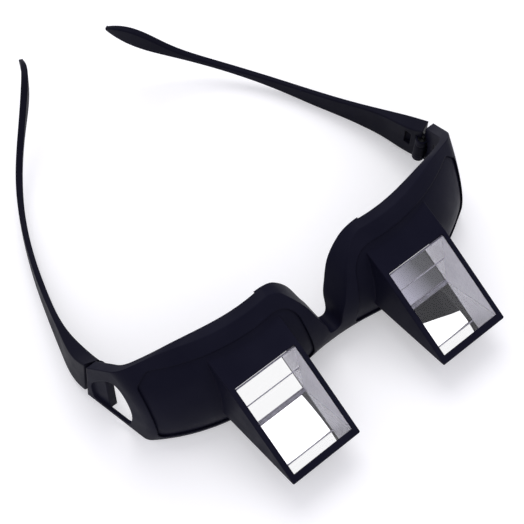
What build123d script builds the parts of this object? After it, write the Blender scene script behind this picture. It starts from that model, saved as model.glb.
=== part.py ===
from build123d import *
import math
import os

# Prism bed glasses, upside down, standing on the brow edge of the front.
# Millimetres and degrees. The front faces -Y, the temples go back along +Y and the chin side is up.
# The origin is on the table, on the middle line, just behind the outer face of the bridge.
# Each piece of a pair is built on the +X side, which is the wearer's right, and mirrored to the left.

os.makedirs("parts", exist_ok=True)

# Plan of the front: a hollow bridge arc, a lens arc, a tight corner and a straight end piece on each side.
# The lens arc's middle shifts towards the nose with height.
lens_x = 29.9
lens_shift = 0.05
lens_front_y = -5.75
lens_arc_radius = 68.0
bridge_arc_radius = 95.0
brow_corner_radius = 4.8
corner_growth = 0.3
end_flare = 16.5
end_piece_x = 76.9
end_lean = 0.095
seam_y = 31.8

# The front's height and depth, and the upright curve of its outer face, with its radius at the foremost line
front_height = 37.6
face_radius = 28.7
foremost_height = 7.5
frame_depth = 3.6
section_count = 4

# Edges of each end piece in the side view: the top falls to the seam, and the bottom rises to it
shoulder_y = 16.0
shoulder_radius = 6.0
seam_top = 23.5
brow_corner_y = 9.5
seam_bottom = 4.6

# Nose notch in the front view, where a drop is measured from the chin edge
notch_bottom = 9.6
notch_foot_x = 3.3
notch_foot_height = 14.8
notch_waist_x = 5.0
notch_waist_height = 19.0
notch_shoulder_x = 8.4
notch_shoulder_drop = 10.4
notch_corner_x = 12.9
notch_corner_drop = 3.8
notch_mouth_x = 19.2

# Flange behind the notch's edge, where the nose rests, with its reach back from the front's foremost arc
flange_width = 2.4
flange_foot_reach = 9.7
flange_waist_height = 20.0
flange_waist_reach = 13.3
flange_shoulder_drop = 8.1
flange_shoulder_reach = 10.8
flange_top_reach = 4.4

# Opening for the dark panel in the front view, and the panel itself
panel_nose_x = 8.6
panel_nose_slope = 4.4
panel_outer_x = 67.3
panel_outer_fall = 4.4
panel_bottom = 2.6
panel_drop = 4.2
panel_corner_radius = 3.5
panel_nose_radius = 9.0
panel_inset = 0.8
panel_depth = 1.8
panel_tongue = 0.9
panel_clearance = 0.1

# Vent through each end piece in the side view, with a slim sill below it and a recess behind its rear part
vent_front_y = 15.2
vent_rear_y = 29.2
vent_shoulder_height = 18.0
vent_front_shoulder = 1.3
vent_rear_shoulder = 0.7
vent_peak_y = 21.6
vent_peak = 24.4
vent_corner_radius = 2.2
sill_height = 1.4
sill_depth = 1.2
recess_depth = 1.0
recess_edge_y = 23.6
recess_edge_slope = 0.1

# Glass prism: its eye side, the mirror side and the window make a 30 60 90 triangle
prism_x = 32.0
glass_width = 24.0
eye_side = 16.4
apex_angle = 30.0
window_tilt = 25.0
glass_y = -4.0
glass_drop = 10.1
glass_tip_blunt = 0.3
edge_bevel = 0.9
foot_bevel = 0.25
end_bevel = 0.3
film_thickness = 0.2

# Box round the prism
glass_clearance = 0.1
box_wall = 1.6
box_floor = 1.4
lip_height = 0.5
lip_overlap = 0.12
tip_rim = 2.3
rear_lip = 0.7
roof_slope = 18.0
side_splay = 5.0
box_round = 0.5
box_sink = 0.4

# Hinge, with two knuckles on the front and one on the temple
pin_inset = 5.4
knuckle_radius = 2.3
knuckle_clearance = 0.2
knuckle_gap = 0.15
hinge_bottom = 7.0
hinge_top = 18.0
middle_knuckle = 5.6
lug_depth = 1.8
screw_radius = 0.8
screw_clearance = 0.05
screw_head_radius = 1.45
screw_head_height = 0.9
screw_slot_width = 0.4
screw_slot_depth = 0.35

# Temple, measured along its chord from the hinge pin to the ear tip, with the temple fully open
temple_chord_angle = 6.9
temple_length = 121.8
temple_bow = 11.5
root_offset = 0.3
seam_gap = 0.25
root_thickness = 5.5
shank_thickness = 3.1
waist_thickness = 2.0
ear_thickness = 2.5
tip_thickness = 1.4
shank_bottom = -0.4
shank_top = 9.5
waist_bottom = 2.0
waist_top = 6.9
root_bottom = 2.4
root_top = 18.5
neck_bottom = 0.7
neck_top = 14.8
rise_bottom = 7.4
rise_top = 9.8
bend_bottom = 12.8
bend_top = 17.6
ear_bottom = 18.8
ear_top = 27.2
tip_bottom = 23.4
tip_top = 24.7
tip_round = 0.6
blade_round = 0.5
pocket_start = 4.3
pocket_length = 2.4
pocket_height = 7.5
pocket_depth = 1.6

# How far each temple is folded in from its open stop in the photograph's pose
left_fold = 15.7
right_fold = 23.1

# How far cutting shapes run past the model
margin = 30.0

# Values that follow from the sizes above
hinge_middle = (hinge_bottom + hinge_top) / 2
pin_x = end_piece_x - end_lean * hinge_middle - pin_inset
panel_top = front_height - panel_drop
glass_z = front_height - glass_drop
side_edge = prism_x + glass_width / 2 + glass_clearance
behind = Plane.XZ.offset(-2 * margin)


def lean(height):
    """How far the outer face lies behind its foremost line at a height."""
    rise = height - foremost_height
    return rise**2 / (2 * face_radius)


def heading(angle):
    """Unit vector whose angle is measured from its first axis towards its second."""
    return Vector(math.cos(math.radians(angle)), math.sin(math.radians(angle)))


def arc_about(centre, start, end):
    """Short arc about a centre, between two points at the same distance from it."""
    towards_middle = (start - centre) + (end - centre)
    middle = centre + towards_middle.normalized() * (start - centre).length
    ThreePointArc(start, middle, end)


def front_plan(height, inset, last):
    """Stops in plan, at a depth behind the outer face, each with the centre of the arc that leads to it."""
    arc_x = lens_x - lens_shift * height
    lens_centre = Vector(arc_x, lens_front_y + lean(height) + lens_arc_radius)
    reach = lens_arc_radius + bridge_arc_radius
    bridge_centre = Vector(0, lens_centre.Y - math.sqrt(reach**2 - arc_x**2))
    along = heading(90 - end_flare)
    inward = heading(180 - end_flare)
    outer_end = Vector(end_piece_x - end_lean * height, seam_y)
    corner_radius = brow_corner_radius + corner_growth * height
    start = outer_end + inward * corner_radius
    away = start - lens_centre
    step = away.dot(along)
    room = (lens_arc_radius - corner_radius) ** 2 - away.dot(away)
    corner_centre = start - along * (step + math.sqrt(step**2 + room))
    to_bridge = (bridge_centre - lens_centre).normalized()
    to_corner = (corner_centre - lens_centre).normalized()
    stops = {
        "middle": (Vector(0, bridge_centre.Y + bridge_arc_radius + inset), None),
        "bridge": (lens_centre + to_bridge * (lens_arc_radius - inset), bridge_centre),
        "lens": (lens_centre - Vector(0, lens_arc_radius - inset), lens_centre),
        "corner": (lens_centre + to_corner * (lens_arc_radius - inset), lens_centre),
        "end": (corner_centre - inward * (corner_radius - inset), corner_centre),
        "past_seam": (outer_end + inward * inset + along * margin / 2, None),
    }
    names = list(stops)
    return [stops[name] for name in names[: names.index(last) + 1]]


def front_line(stops):
    """Arcs and straight stretch along one face of the front."""
    for (start, _), (end, centre) in zip(stops, stops[1:]):
        if centre is None:
            Line(start, end)
        else:
            arc_about(centre, start, end)


def curved_wall(inset, depth, last, mode=Mode.ADD):
    """Right half of the front's curved wall, from the middle to a stop, between two depths."""
    sections = []
    for step in range(section_count):
        height = front_height * step / (section_count - 1)
        with BuildSketch(Plane.XY.offset(height), mode=Mode.PRIVATE) as section:
            with BuildLine():
                outer = front_plan(height, inset, last)
                inner = front_plan(height, inset + depth, last)
                front_line(outer)
                front_line(inner)
                Line(outer[0][0], inner[0][0])
                Line(outer[-1][0], inner[-1][0])
            make_face()
        sections.append(section.sketch.face())
    loft(sections, mode=mode)


def space_behind(inset, last, mode=Mode.ADD):
    """Right half of the space behind the front's curved surface at a depth, from the middle to a stop."""
    sections = []
    for step in range(section_count):
        height = front_height * step / (section_count - 1)
        with BuildSketch(Plane.XY.offset(height), mode=Mode.PRIVATE) as section:
            with BuildLine():
                face = front_plan(height, inset, last)
                front_line(face)
                start, end = face[0][0], face[-1][0]
                Polyline(start, (start.X, 2 * margin), (end.X, 2 * margin), end)
            make_face()
        sections.append(section.sketch.face())
    loft(sections, mode=mode)


def panel_outline(grow):
    """Outline of the panel opening in the front view, grown outwards by an amount."""
    with BuildSketch(behind, mode=Mode.PRIVATE) as outline:
        with BuildLine():
            FilletPolyline(
                (panel_nose_x - grow, panel_bottom - grow),
                (panel_outer_x + grow, panel_bottom - grow),
                (panel_outer_x + grow, panel_top - panel_outer_fall + grow),
                (panel_outer_x - panel_outer_fall + grow, panel_top + grow),
                (panel_nose_x + panel_nose_slope - grow, panel_top + grow),
                radius=[panel_corner_radius + grow] * 4 + [panel_nose_radius + grow],
                close=True,
            )
        make_face()
    return outline.sketch


def notch_outline(shift):
    """Right half of the nose notch in the front view, open at the top, with its edge moved outwards."""
    with BuildSketch(behind, mode=Mode.PRIVATE) as outline:
        with BuildLine():
            edge = Spline(
                (0, notch_bottom - shift),
                (notch_foot_x + shift, notch_foot_height - shift / 2),
                (notch_waist_x + shift, notch_waist_height),
                (notch_shoulder_x + shift, front_height - notch_shoulder_drop),
                (notch_corner_x + shift, front_height - notch_corner_drop),
                (notch_mouth_x + shift, front_height),
                tangents=((1, 0), (1, 0.2)),
            )
            above = front_height + margin
            mouth_x = notch_mouth_x + shift
            Polyline(edge @ 1, (mouth_x, above), (-margin, above), (-margin, notch_bottom - shift), edge @ 0)
        make_face()
    return outline.sketch


# Corners of the glass in the side view, where the first value is Y and the second is Z
forward = heading(180 + window_tilt)
window_normal = heading(90 + window_tilt)
mirror_tilt = apex_angle - window_tilt
mirror_forward = heading(180 - mirror_tilt)
mirror_up = heading(90 - mirror_tilt)
window_length = eye_side / math.sin(math.radians(apex_angle))
glass_edge = Vector(glass_y, glass_z)
glass_foot = glass_edge - mirror_up * eye_side
glass_end = window_length - glass_tip_blunt
glass_tip_top = glass_edge + forward * glass_end
under_glass = film_thickness + glass_clearance
floor_top = glass_foot - mirror_up * under_glass
floor_bottom = floor_top - mirror_up * box_floor


def along_floor(start, y):
    """Point at a Y on the line that runs through a point, parallel to the mirror side."""
    return Vector(y, start.Y + (y - start.X) * mirror_forward.Y / mirror_forward.X)


# Side view through the middle of the glass, and the plane of its window with the Y axis pointing back
side_view = Plane.YZ.offset(prism_x)
window_view = Plane(
    origin=(prism_x, glass_edge.X, glass_edge.Y),
    x_dir=(1, 0, 0),
    z_dir=(0, window_normal.X, window_normal.Y),
)

with BuildPart() as right_prism:
    with BuildSketch(side_view):
        with BuildLine():
            glass_tip_bottom = along_floor(glass_foot, glass_tip_top.X)
            Polyline(glass_edge, glass_tip_top, glass_tip_bottom, glass_foot, close=True)
        make_face()
    extrude(amount=glass_width / 2, both=True)
    rear_edges = right_prism.edges().filter_by(Axis.X).sort_by(Axis.Y)[-2:].sort_by(Axis.Z)
    chamfer(rear_edges[1], edge_bevel)
    chamfer(rear_edges[0], foot_bevel)
right_prism.part.label = "right_prism"

# Mirror film against the mirror side of the glass
with BuildPart() as right_reflector:
    with BuildSketch(side_view):
        with BuildLine():
            film_rear = glass_foot + mirror_forward * foot_bevel
            film_front = along_floor(glass_foot, glass_tip_top.X + glass_tip_blunt)
            drop = mirror_up * -film_thickness
            Polyline(film_rear, film_front, film_front + drop, film_rear + drop, close=True)
        make_face()
    extrude(amount=glass_width / 2 - end_bevel, both=True)
right_reflector.part.label = "right_reflector"

# Solid wedge round the prism, trimmed to the back of the panel
with BuildPart() as box_block:
    with BuildSketch(side_view):
        with BuildLine():
            rim_rear = glass_edge + window_normal * lip_height - forward * rear_lip
            rim_front = glass_tip_top + window_normal * lip_height + forward * (tip_rim - lip_overlap)
            roof_rear = rim_rear + heading(roof_slope) * margin / 2
            floor_front = along_floor(floor_bottom, rim_front.X)
            floor_rear = along_floor(floor_bottom, roof_rear.X)
            Polyline(rim_rear, rim_front, floor_front, floor_rear, roof_rear, close=True)
        make_face()
    extrude(amount=margin, both=True)
    # The sides splay outwards below the window
    rim_centre = glass_edge + window_normal * lip_height - forward * margin
    across = Plane(
        origin=(prism_x, rim_centre.X, rim_centre.Y),
        x_dir=(1, 0, 0),
        z_dir=(0, forward.X, forward.Y),
    )
    with BuildSketch(across):
        with BuildLine():
            rim_half = side_edge - prism_x + box_wall
            splayed = rim_half + margin * math.tan(math.radians(side_splay))
            Polyline((-rim_half, 0), (rim_half, 0), (splayed, -margin), (-splayed, -margin), close=True)
        make_face()
    extrude(amount=3 * margin, mode=Mode.INTERSECT)
    fillet(box_block.edges(), box_round)
    space_behind(panel_inset + panel_depth - box_sink, "corner", Mode.SUBTRACT)

with BuildPart() as right_prism_housing:
    curved_wall(panel_inset, panel_depth, "past_seam")
    extrude(panel_outline(panel_tongue - panel_clearance), amount=4 * margin, mode=Mode.INTERSECT)
    add(box_block.part)
    # Room for the glass, open to the eye
    with BuildSketch(side_view):
        with BuildLine():
            room_top = glass_edge + window_normal * glass_clearance
            room_tip = glass_tip_top + window_normal * glass_clearance + forward * glass_clearance
            room_tip_floor = along_floor(floor_top, room_tip.X)
            room_roof = along_floor(room_top, margin)
            room_floor = along_floor(floor_top, margin)
            Polyline(room_top, room_tip, room_tip_floor, room_floor, room_roof, close=True)
        make_face()
    extrude(amount=side_edge - prism_x, both=True, mode=Mode.SUBTRACT)
    # Window over the glass
    with BuildSketch(window_view):
        window_from = lip_overlap
        window_to = glass_end - lip_overlap
        with Locations((0, -(window_from + window_to) / 2)):
            Rectangle(glass_width - 2 * lip_overlap, window_to - window_from)
    extrude(amount=2 * lip_height, mode=Mode.SUBTRACT)
right_prism_housing.part.label = "right_prism_housing"

# Flange that widens the notch's edge backwards and crosses the bridge
with BuildPart() as nose_flange:
    space_behind(frame_depth / 2, "lens")
    extrude(notch_outline(flange_width), amount=4 * margin, mode=Mode.INTERSECT)
    with BuildSketch(Plane.YZ):
        with BuildLine():
            rear_edge = Spline(
                *(
                    (lens_front_y + lean(height) + reach, height)
                    for height, reach in (
                        (notch_bottom, flange_foot_reach),
                        (flange_waist_height, flange_waist_reach),
                        (front_height - flange_shoulder_drop, flange_shoulder_reach),
                        (front_height, flange_top_reach),
                    )
                )
            )
            Polyline(
                rear_edge @ 1,
                (-margin, front_height),
                (-margin, 0),
                ((rear_edge @ 0).X, 0),
                rear_edge @ 0,
            )
        make_face()
    extrude(amount=margin, mode=Mode.INTERSECT)
    extrude(notch_outline(0), amount=4 * margin, mode=Mode.SUBTRACT)

with BuildPart() as right_half:
    curved_wall(0, frame_depth, "past_seam")
    split(bisect_by=Plane.XZ.offset(-seam_y), keep=Keep.TOP)
    # Falling top edge of the end piece
    with BuildSketch(Plane.YZ):
        with BuildLine():
            fall = Vector(seam_y - shoulder_y, seam_top - front_height)
            below = Vector(shoulder_y, front_height) + fall * 2
            FilletPolyline(
                (shoulder_y - margin / 2, front_height),
                (shoulder_y, front_height),
                below,
                radius=shoulder_radius,
            )
            Polyline(
                below,
                (below.X, front_height + margin),
                (shoulder_y - margin / 2, front_height + margin),
                (shoulder_y - margin / 2, front_height),
            )
        make_face()
    extrude(amount=end_piece_x + margin, mode=Mode.SUBTRACT)
    # Rising bottom edge of the end piece
    with BuildSketch(Plane.YZ):
        with BuildLine():
            rise = Vector(seam_y - brow_corner_y, seam_bottom)
            above = Vector(brow_corner_y, 0) + rise * 2
            Polyline((brow_corner_y, 0), above, (above.X, -margin), (brow_corner_y, -margin), close=True)
        make_face()
    extrude(amount=end_piece_x + margin, mode=Mode.SUBTRACT)
    # Nose notch
    extrude(notch_outline(0), amount=4 * margin, mode=Mode.SUBTRACT)
    add(nose_flange.part)
    # Panel opening
    extrude(panel_outline(0), amount=4 * margin, mode=Mode.SUBTRACT)

# Groove that holds the panel's edge
with BuildPart() as groove:
    curved_wall(panel_inset - panel_clearance, panel_depth + 2 * panel_clearance, "past_seam")
    extrude(panel_outline(panel_tongue), amount=4 * margin, mode=Mode.INTERSECT)


def end_sill(y):
    """Height of the end piece's bottom edge at a Y."""
    return max(0, (y - brow_corner_y) * seam_bottom / (seam_y - brow_corner_y))


def vent_outline():
    """Arched outline of the vent in the side view, over a sill that follows the end piece's bottom edge."""
    with BuildSketch(vent_plane, mode=Mode.PRIVATE) as outline:
        with BuildLine():
            front_sill = Vector(vent_front_y, end_sill(vent_front_y) + sill_height)
            rear_sill = Vector(vent_rear_y, end_sill(vent_rear_y) + sill_height)
            Line(front_sill, rear_sill)
            Spline(
                front_sill,
                (vent_front_y + vent_front_shoulder, vent_shoulder_height),
                (vent_peak_y, vent_peak),
                (vent_rear_y - vent_rear_shoulder, vent_shoulder_height),
                rear_sill,
                tangents=((-0.2, 1), (-0.2, -1)),
            )
        make_face()
        fillet(outline.vertices(), vent_corner_radius)
    return outline.sketch


def recess_edge(height):
    """Y of the front edge of the vent's recessed rear part at a height."""
    return recess_edge_y + recess_edge_slope * height


vent_plane = Plane.YZ.offset(panel_outer_x - 2 * frame_depth)
relief_top = vent_shoulder_height / 2

# Heights of the hinge's knuckles
frame_knuckle = (hinge_top - hinge_bottom - middle_knuckle) / 2 - knuckle_gap
middle_bottom = hinge_middle - middle_knuckle / 2
gap_bottom = hinge_bottom + frame_knuckle
gap_top = hinge_top - frame_knuckle
bore_radius = screw_radius + screw_clearance
room_radius = knuckle_radius + knuckle_clearance


def pin_plane(height):
    """Level plane at a height with its origin on the hinge pin."""
    return Plane(origin=(pin_x, seam_y, height))


with BuildPart() as vent_recess:
    curved_wall(-recess_depth, 2 * recess_depth, "past_seam")
    extrude(vent_outline(), amount=margin, mode=Mode.INTERSECT)

# Part of the vent that goes through, in front of the recess
with BuildPart() as vent_opening:
    extrude(vent_outline(), amount=margin)
    with BuildSketch(Plane.YZ):
        Polygon(
            (0, 0),
            (recess_edge(0), 0),
            (recess_edge(front_height), front_height),
            (0, front_height),
            align=None,
        )
    extrude(amount=end_piece_x + margin, mode=Mode.INTERSECT)

# Room behind the slim sill, from the vent's front to the recess
with BuildPart() as sill_relief:
    space_behind(sill_depth, "past_seam")
    with BuildSketch(Plane.YZ):
        Polygon(
            (vent_front_y, -margin),
            (recess_edge(0), -margin),
            (recess_edge(0), 0),
            (recess_edge(relief_top), relief_top),
            (vent_front_y, relief_top),
            align=None,
        )
    extrude(amount=end_piece_x + margin, mode=Mode.INTERSECT)

with BuildPart() as right_end:
    add(right_half.part)
    add(groove.part, mode=Mode.SUBTRACT)
    add(vent_recess.part, mode=Mode.SUBTRACT)
    add(sill_relief.part, mode=Mode.SUBTRACT)
    add(vent_opening.part, mode=Mode.SUBTRACT)
    # Knuckles of the front, each on a lug from the end piece's inner face
    for bottom in (hinge_bottom, gap_top):
        with BuildSketch(pin_plane(bottom)):
            Circle(knuckle_radius)
            lug_size = (pin_inset - frame_depth / 2, lug_depth)
            Rectangle(*lug_size, align=(Align.MIN, Align.MAX))
        extrude(amount=frame_knuckle)
    # Room for the temple's knuckle
    with BuildSketch(pin_plane(gap_bottom)):
        Circle(room_radius)
    extrude(amount=gap_top - gap_bottom, mode=Mode.SUBTRACT)
    # Screw hole and the head's seat
    with BuildSketch(pin_plane(hinge_bottom)):
        Circle(bore_radius)
    extrude(amount=hinge_top - hinge_bottom, mode=Mode.SUBTRACT)
    with BuildSketch(pin_plane(hinge_top - screw_head_height)):
        Circle(screw_head_radius + screw_clearance)
    extrude(amount=screw_head_height, mode=Mode.SUBTRACT)

with BuildPart() as front_frame:
    add(right_end.part)
    mirror(about=Plane.YZ)
front_frame.part.label = "front_frame"

with BuildPart() as right_hinge_screw:
    with BuildSketch(pin_plane(hinge_bottom)):
        Circle(screw_radius)
    extrude(amount=hinge_top - hinge_bottom)
    with BuildSketch(pin_plane(hinge_top - screw_head_height)):
        Circle(screw_head_radius)
    extrude(amount=screw_head_height)
    with BuildSketch(pin_plane(hinge_top)):
        Rectangle(screw_slot_width, 3 * screw_head_radius)
    extrude(amount=-screw_slot_depth, mode=Mode.SUBTRACT)
right_hinge_screw.part.label = "right_hinge_screw"

# Along the temple: share of its length, share of its bow, thickness, bottom edge and top edge
temple_form = (
    (0.053, 0.24, root_thickness, root_bottom, root_top),
    (0.134, 0.585, shank_thickness, neck_bottom, neck_top),
    (0.287, 0.872, waist_thickness, shank_bottom, shank_top),
    (0.491, 1.0, waist_thickness, waist_bottom, waist_top),
    (0.695, 0.765, ear_thickness, rise_bottom, rise_top),
    (0.817, 0.38, ear_thickness, bend_bottom, bend_top),
    (0.919, 0.02, ear_thickness, ear_bottom, ear_top),
    (1.0, 0.03, tip_thickness, tip_bottom, tip_top),
)


def to_chord(across, back):
    """Point beside the pin, given square to the front, in the open temple's own plane."""
    angle = math.radians(temple_chord_angle)
    along = back * math.cos(angle) - across * math.sin(angle)
    outwards = back * math.sin(angle) + across * math.cos(angle)
    return Vector(along, outwards)


def temple(fold):
    """Left temple, folded in by an angle from its open stop."""
    pin = Vector(-pin_x, seam_y, hinge_middle)
    turned = heading(90 - temple_chord_angle - fold)
    in_plan = Plane(origin=pin, x_dir=(turned.X, turned.Y, 0), z_dir=(0, 0, 1))
    on_table = Vector(pin.X, pin.Y, 0)
    from_side = Plane(origin=on_table, x_dir=(turned.X, turned.Y, 0), z_dir=(turned.Y, -turned.X, 0))
    inner_root = to_chord(root_offset, seam_gap)
    outer_root = to_chord(pin_inset + seam_gap * math.tan(math.radians(end_flare)), seam_gap)
    inner = [inner_root]
    outer = [outer_root]
    bottom = [Vector(outer_root.X, seam_bottom)]
    top = [Vector(outer_root.X, seam_top)]
    for share, bow, thickness, low, high in temple_form:
        inner.append(Vector(share * temple_length, bow * temple_bow))
        outer.append(Vector(share * temple_length, bow * temple_bow + thickness))
        bottom.append(Vector(share * temple_length, low))
        top.append(Vector(share * temple_length, high))
    with BuildPart() as blade:
        # Bowed strip that leans inwards with height, as the end piece does
        with BuildSketch(in_plan):
            with BuildLine():
                Spline(*inner)
                Spline(*outer)
                Line(inner[0], outer[0])
                Line(inner[-1], outer[-1])
            make_face()
        inwards = heading(-fold) * end_lean
        extrude(amount=front_height, dir=(inwards.X, inwards.Y, 1), both=True)
        # Edges in the side view, with the lowest stretch flat on the table
        with BuildSketch(from_side.offset(-margin)):
            with BuildLine():
                before_root = Vector(-margin, 0)
                Spline(*bottom)
                Spline(*top)
                Polyline(bottom[0], bottom[0] + before_root, top[0] + before_root, top[0])
                ThreePointArc(bottom[-1], (bottom[-1] + top[-1]) / 2 + Vector(tip_round, 0), top[-1])
            make_face()
        extrude(amount=2 * margin, mode=Mode.INTERSECT)
        split(bisect_by=Plane.XY, keep=Keep.TOP)
        long_edges = blade.edges().filter_by(lambda edge: edge.length > temple_length / 3)
        fillet(long_edges.sort_by(Axis.Z)[-2:], blade_round)
        # Pocket in the inner face behind the hinge
        share, bow = temple_form[0][:2]
        pocket_middle = pocket_start + pocket_length / 2
        skin = root_offset + (bow * temple_bow - root_offset) * pocket_middle / (share * temple_length)
        with BuildSketch(from_side.offset(-skin - pocket_depth)):
            with Locations((pocket_middle, hinge_middle)):
                Rectangle(pocket_length, pocket_height)
        extrude(amount=margin, mode=Mode.SUBTRACT)
        # Knuckle between the front's two
        for bottom_z, height in (
            (hinge_bottom - knuckle_gap, frame_knuckle + 2 * knuckle_gap),
            (gap_top - knuckle_gap, frame_knuckle + 2 * knuckle_gap),
        ):
            with BuildSketch(Plane(origin=(pin.X, pin.Y, bottom_z))):
                Circle(room_radius)
            extrude(amount=height, mode=Mode.SUBTRACT)
        with BuildSketch(Plane(origin=(pin.X, pin.Y, middle_bottom))):
            Circle(knuckle_radius)
        extrude(amount=middle_knuckle)
        with BuildSketch(Plane(origin=(pin.X, pin.Y, middle_bottom))):
            Circle(bore_radius)
        extrude(amount=middle_knuckle, mode=Mode.SUBTRACT)
    return blade.part


left_blade = temple(left_fold)
right_blade = temple(right_fold)

with BuildPart() as left_temple:
    add(left_blade)
left_temple.part.label = "left_temple"

with BuildPart() as right_temple:
    mirror(right_blade, about=Plane.YZ)
right_temple.part.label = "right_temple"

with BuildPart() as left_prism_housing:
    mirror(right_prism_housing.part, about=Plane.YZ)
left_prism_housing.part.label = "left_prism_housing"

with BuildPart() as left_prism:
    mirror(right_prism.part, about=Plane.YZ)
left_prism.part.label = "left_prism"

with BuildPart() as left_reflector:
    mirror(right_reflector.part, about=Plane.YZ)
left_reflector.part.label = "left_reflector"

with BuildPart() as left_hinge_screw:
    mirror(right_hinge_screw.part, about=Plane.YZ)
left_hinge_screw.part.label = "left_hinge_screw"

export_step(front_frame.part, "parts/front_frame.step")
export_step(left_prism_housing.part, "parts/left_prism_housing.step")
export_step(right_prism_housing.part, "parts/right_prism_housing.step")
export_step(left_prism.part, "parts/left_prism.step")
export_step(right_prism.part, "parts/right_prism.step")
export_step(left_reflector.part, "parts/left_reflector.step")
export_step(right_reflector.part, "parts/right_reflector.step")
export_step(left_hinge_screw.part, "parts/left_hinge_screw.step")
export_step(right_hinge_screw.part, "parts/right_hinge_screw.step")
export_step(left_temple.part, "parts/left_temple.step")
export_step(right_temple.part, "parts/right_temple.step")
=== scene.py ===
import math

import bpy
from mathutils import Matrix, Vector

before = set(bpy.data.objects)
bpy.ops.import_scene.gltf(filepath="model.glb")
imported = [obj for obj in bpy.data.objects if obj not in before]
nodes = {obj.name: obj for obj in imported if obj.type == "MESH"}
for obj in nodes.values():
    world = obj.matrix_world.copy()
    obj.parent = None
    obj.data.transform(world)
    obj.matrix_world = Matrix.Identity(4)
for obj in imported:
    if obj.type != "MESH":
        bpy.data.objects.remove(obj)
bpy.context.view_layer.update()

# Prism bed glasses on a white sweep. Metres and degrees.

scene = bpy.context.scene

WHITE = (1.0, 1.0, 1.0)

# Angles of the prism's polished sides' normals in the side view, from forwards to upwards
EYE_SIDE_ANGLE = 5
WINDOW_ANGLE = 65
MIRROR_SIDE_ANGLE = 95
# A normal within about 6 degrees of a direction faces it
FACING_COSINE = 0.995

# The plastics' moulded surface
EDGE_ROUND = 0.0006
GRAIN_DEPTH = 0.00002
GRAIN_STRENGTH = 0.35

# Sizes and places of the stage
FLOOR_SIZE = 6
CARD_SIZE = 0.07
CARD_PLACE = (0.225, -0.127, 0.42)
LAMP_TARGET = (0, 0.03, 0)

# World light: its strength, and how much is added where it is looked at
FILL = 0.78
FILL_TO_WHITE = 0.22

# Camera at the photograph's viewing angle
CAMERA_PLACE = (-0.1325, -0.1140, 0.3710)
CAMERA_RIGHT = (0.773, -0.634, 0.022)
CAMERA_FORWARD = (0.316, 0.356, -0.880)
SENSOR_WIDTH = 36
PICTURE_WIDTH = 524
FOCAL_PIXELS = 1200


def new_material(name):
    """Empty node material, its tree and its output node."""
    material = bpy.data.materials.new(name)
    material.use_nodes = True
    tree = material.node_tree
    tree.nodes.clear()
    output = tree.nodes.new("ShaderNodeOutputMaterial")
    return material, tree, output


def ramp(tree, factor, stops):
    """Colour ramp between (position, value or colour) stops."""
    node = tree.nodes.new("ShaderNodeValToRGB")
    elements = node.color_ramp.elements
    while len(elements) < len(stops):
        elements.new(0.5)
    for element, (position, value) in zip(elements, stops):
        element.position = position
        element.color = (value, value, value, 1) if isinstance(value, float) else (*value, 1)
    tree.links.new(factor, node.inputs["Fac"])
    return node.outputs["Color"]


def noise(tree, scale, detail, vector):
    """Noise over object coordinates in metres."""
    node = tree.nodes.new("ShaderNodeTexNoise")
    node.inputs["Scale"].default_value = scale
    node.inputs["Detail"].default_value = detail
    tree.links.new(vector, node.inputs["Vector"])
    return node.outputs["Fac"]


def maths(tree, operation, *values):
    """Math node whose inputs are numbers or other nodes' outputs."""
    node = tree.nodes.new("ShaderNodeMath")
    node.operation = operation
    for socket, value in zip(node.inputs, values):
        if isinstance(value, (int, float)):
            socket.default_value = value
        else:
            tree.links.new(value, socket)
    return node.outputs[0]


def principled(tree, **values):
    """Principled shader whose inputs' names are written with underscores."""
    shader = tree.nodes.new("ShaderNodeBsdfPrincipled")
    for name, value in values.items():
        shader.inputs[name.replace("_", " ")].default_value = value
    return shader


def mixed(tree, factor, first, second):
    """Mix of two shaders."""
    mix = tree.nodes.new("ShaderNodeMixShader")
    tree.links.new(factor, mix.inputs["Fac"])
    tree.links.new(first, mix.inputs[1])
    tree.links.new(second, mix.inputs[2])
    return mix.outputs[0]


def seen_directly(tree):
    """Light Path node, and one where the camera or a glossy surface sees the material."""
    path = tree.nodes.new("ShaderNodeLightPath")
    seen = maths(tree, "MAXIMUM", path.outputs["Is Camera Ray"], path.outputs["Is Glossy Ray"])
    return path, seen


def moulded_plastic(name, dark, light, rough_low, rough_high, specular):
    """Moulded plastic: fine spark-eroded grain, faint flow marks, a little handling shine."""
    material, tree, output = new_material(name)
    shader = principled(tree, Specular_IOR_Level=specular)
    tree.links.new(shader.outputs["BSDF"], output.inputs["Surface"])
    place = tree.nodes.new("ShaderNodeTexCoord").outputs["Object"]
    flow = ramp(tree, noise(tree, 55, 3, place), ((0.35, dark), (0.68, light)))
    tree.links.new(flow, shader.inputs["Base Color"])
    handling = ramp(tree, noise(tree, 130, 4, place), ((0.36, rough_low), (0.64, rough_high)))
    tree.links.new(handling, shader.inputs["Roughness"])
    grain = noise(tree, 5200, 2, place)
    # The CAD's sharp edges catch the light as if rounded
    bevel = tree.nodes.new("ShaderNodeBevel")
    bevel.samples = 8
    bevel.inputs["Radius"].default_value = EDGE_ROUND
    bump = tree.nodes.new("ShaderNodeBump")
    bump.inputs["Strength"].default_value = GRAIN_STRENGTH
    bump.inputs["Distance"].default_value = GRAIN_DEPTH
    tree.links.new(grain, bump.inputs["Height"])
    tree.links.new(bevel.outputs["Normal"], bump.inputs["Normal"])
    tree.links.new(bump.outputs["Normal"], shader.inputs["Normal"])
    return material


def metal(name, colour, rough_low, rough_high):
    """Bare metal with fine turning marks."""
    material, tree, output = new_material(name)
    shader = principled(tree, Base_Color=(*colour, 1), Metallic=1)
    tree.links.new(shader.outputs["BSDF"], output.inputs["Surface"])
    place = tree.nodes.new("ShaderNodeTexCoord").outputs["Object"]
    marks = ramp(tree, noise(tree, 2400, 3, place), ((0.3, rough_low), (0.7, rough_high)))
    tree.links.new(marks, shader.inputs["Roughness"])
    return material


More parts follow.
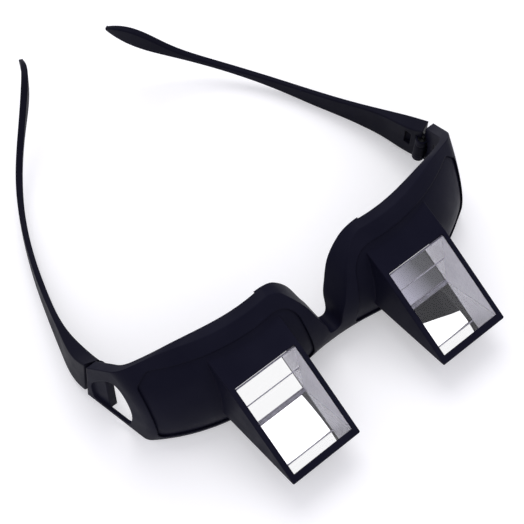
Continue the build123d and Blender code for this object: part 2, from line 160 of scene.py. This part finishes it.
def prism_glass(name):
    """Glass with a clear window and eye side, a silvered mirror side, and finely ground ends and bevel
    faces, the bevel faces painted darker as painted shade.
    """
    material, tree, output = new_material(name)
    place = tree.nodes.new("ShaderNodeTexCoord")

    def facing_end():
        """One where the surface's normal is along the prism's width."""
        split = tree.nodes.new("ShaderNodeSeparateXYZ")
        tree.links.new(place.outputs["Normal"], split.inputs[0])
        return maths(tree, "GREATER_THAN", maths(tree, "ABSOLUTE", split.outputs["X"]), FACING_COSINE)

    def facing(angle):
        """One where the surface's normal is at an angle in the side view, either way round."""
        dot = tree.nodes.new("ShaderNodeVectorMath")
        dot.operation = "DOT_PRODUCT"
        tree.links.new(place.outputs["Normal"], dot.inputs[0])
        turn = math.radians(angle)
        dot.inputs[1].default_value = (0, -math.cos(turn), math.sin(turn))
        return maths(tree, "GREATER_THAN", maths(tree, "ABSOLUTE", dot.outputs["Value"]), FACING_COSINE)

    glass = principled(tree, Base_Color=(*WHITE, 1), Transmission_Weight=1, IOR=1.52, Roughness=0)
    silver = principled(tree, Base_Color=(0.97, 0.97, 0.98, 1), Metallic=1, Roughness=0)
    ground = principled(tree, Roughness=0.5)
    frost = noise(tree, 900, 3, place.outputs["Object"])
    ends = ramp(tree, frost, ((0.3, (0.74, 0.72, 0.82)), (0.7, (0.86, 0.84, 0.93))))
    # The ground bevel faces get a darker grey than the ground ends: painted shade, for dark lines along the
    # window's edges
    painted_shade_bevels = ramp(tree, frost, ((0.3, (0.34, 0.33, 0.4)), (0.7, (0.52, 0.5, 0.6))))
    tint = tree.nodes.new("ShaderNodeMix")
    tint.data_type = "RGBA"
    tree.links.new(facing_end(), tint.inputs["Factor"])
    tree.links.new(painted_shade_bevels, tint.inputs["A"])
    tree.links.new(ends, tint.inputs["B"])
    tree.links.new(tint.outputs["Result"], ground.inputs["Base Color"])
    clear = maths(tree, "MAXIMUM", facing(WINDOW_ANGLE), facing(EYE_SIDE_ANGLE))
    polished = mixed(tree, clear, ground.outputs["BSDF"], glass.outputs["BSDF"])
    silvered = mixed(tree, facing(MIRROR_SIDE_ANGLE), polished, silver.outputs["BSDF"])
    tree.links.new(silvered, output.inputs["Surface"])
    return material


def give(name, material):
    """Puts one material on a CAD node."""
    for slot in nodes[name].material_slots:
        slot.material = material


frame_plastic = moulded_plastic(
    "frame_plastic", (0.0062, 0.0062, 0.0142), (0.0086, 0.0086, 0.0176), 0.4, 0.5, 0.03
)
housing_plastic = moulded_plastic(
    "housing_plastic", (0.006, 0.006, 0.014), (0.0084, 0.0084, 0.0174), 0.36, 0.48, 0.03
)
temple_plastic = moulded_plastic(
    "temple_plastic", (0.0054, 0.0054, 0.0116), (0.0074, 0.0074, 0.0144), 0.42, 0.52, 0.024
)
screw_steel = metal("screw_steel", (0.03, 0.03, 0.033), 0.34, 0.48)
silver_film = metal("silver_film", (0.8, 0.81, 0.84), 0.03, 0.06)
clear_glass = prism_glass("clear_prism_glass")

give("front_frame", frame_plastic)
for side in ("left", "right"):
    give(side + "_prism_housing", housing_plastic)
    give(side + "_prism", clear_glass)
    # Lamp light passes the glass and reaches the ground ends behind it
    nodes[side + "_prism"].visible_shadow = False
    give(side + "_reflector", silver_film)
    # Inside the glass, light meets the glass's own silvered side, which the film touches
    nodes[side + "_reflector"].visible_transmission = False
    nodes[side + "_reflector"].visible_glossy = False
    give(side + "_hinge_screw", screw_steel)
    give(side + "_temple", temple_plastic)

# Floor: a matt white sweep that the camera, the gloss and the glass see as white, and that keeps the shadow.
# Its glow grows with distance, where the lamps' light falls off.
bpy.ops.mesh.primitive_plane_add(size=FLOOR_SIZE, location=(0, 0, 0))
floor = bpy.context.object
floor.name = "floor"
material, tree, output = new_material("white_sweep")
diffuse = tree.nodes.new("ShaderNodeBsdfDiffuse")
diffuse.inputs["Color"].default_value = (0.8, 0.8, 0.8, 1)
glow = tree.nodes.new("ShaderNodeEmission")
glow.inputs["Color"].default_value = (*WHITE, 1)
path, seen = seen_directly(tree)
distance = tree.nodes.new("ShaderNodeVectorMath")
distance.operation = "LENGTH"
tree.links.new(tree.nodes.new("ShaderNodeTexCoord").outputs["Object"], distance.inputs[0])
fall_off = tree.nodes.new("ShaderNodeMapRange")
tree.links.new(distance.outputs["Value"], fall_off.inputs["Value"])
for socket, value in (("From Min", 0.2), ("From Max", 0.75), ("To Min", 0.29), ("To Max", 0.52)):
    fall_off.inputs[socket].default_value = value
seen = maths(tree, "MULTIPLY", seen, fall_off.outputs["Result"])
seen = maths(tree, "MAXIMUM", seen, path.outputs["Is Transmission Ray"])
tree.links.new(seen, glow.inputs["Strength"])
both = tree.nodes.new("ShaderNodeAddShader")
tree.links.new(diffuse.outputs[0], both.inputs[0])
tree.links.new(glow.outputs[0], both.inputs[1])
tree.links.new(both.outputs[0], output.inputs["Surface"])
floor.data.materials.append(material)

# Glowing card over the stage, seen only as the picture that the wearer's right prism mirrors: a painted
# reflection, lilac at one edge and near black at the other
bpy.ops.mesh.primitive_plane_add(size=CARD_SIZE, location=CARD_PLACE)
card = bpy.context.object
card.name = "painted_reflection_card"
material, tree, output = new_material("painted_reflection_card")
material.cycles.emission_sampling = "NONE"
# The card's glow is a painted reflection, not a lamp: only glossy and glass rays see it
painted_reflection_glow = tree.nodes.new("ShaderNodeEmission")
across = tree.nodes.new("ShaderNodeSeparateXYZ")
tree.links.new(tree.nodes.new("ShaderNodeTexCoord").outputs["Generated"], across.inputs[0])
painted_reflection_shades = ((0.2, (0.4, 0.39, 0.48)), (0.5, (0.1, 0.1, 0.115)), (0.8, (0.03, 0.03, 0.035)))
tree.links.new(ramp(tree, across.outputs["X"], painted_reflection_shades), painted_reflection_glow.inputs["Color"])
tree.links.new(painted_reflection_glow.outputs[0], output.inputs["Surface"])
card.data.materials.append(material)
card.visible_camera = False
card.visible_shadow = False
card.visible_diffuse = False

# World: plain studio fill, white where the camera, the gloss or the glass looks at it
world = bpy.data.worlds.new("studio")
scene.world = world
world.use_nodes = True
tree = world.node_tree
tree.nodes.clear()
output = tree.nodes.new("ShaderNodeOutputWorld")
back = tree.nodes.new("ShaderNodeBackground")
path, seen = seen_directly(tree)
seen = maths(tree, "MAXIMUM", seen, path.outputs["Is Transmission Ray"])
tree.links.new(maths(tree, "MULTIPLY_ADD", seen, FILL_TO_WHITE, FILL), back.inputs["Strength"])
tree.links.new(ramp(tree, seen, ((0.0, (0.92, 0.91, 1.0)), (1.0, WHITE))), back.inputs["Color"])
tree.links.new(back.outputs[0], output.inputs["Surface"])


def lamp(name, place, size, energy):
    """Square soft box at a place, turned towards the glasses."""
    data = bpy.data.lights.new(name, "AREA")
    data.shape = "SQUARE"
    data.size = size
    data.energy = energy
    item = bpy.data.objects.new(name, data)
    scene.collection.objects.link(item)
    item.location = place
    item.rotation_euler = (Vector(LAMP_TARGET) - Vector(place)).to_track_quat("-Z", "Y").to_euler()


lamp("key", (0.2, 0.5, 0.85), 0.6, 3.5)
lamp("fill", (-0.5, -0.45, 0.7), 0.6, 0.7)

camera_data = bpy.data.cameras.new("camera")
camera_data.sensor_width = SENSOR_WIDTH
camera_data.lens = SENSOR_WIDTH * FOCAL_PIXELS / PICTURE_WIDTH
camera = bpy.data.objects.new("camera", camera_data)
scene.collection.objects.link(camera)
scene.camera = camera
forward = Vector(CAMERA_FORWARD).normalized()
up = Vector(CAMERA_RIGHT).normalized().cross(forward).normalized()
right = forward.cross(up).normalized()
turn = Matrix((right, up, -forward)).transposed().to_4x4()
camera.matrix_world = Matrix.Translation(CAMERA_PLACE) @ turn

scene.view_settings.view_transform = "Standard"
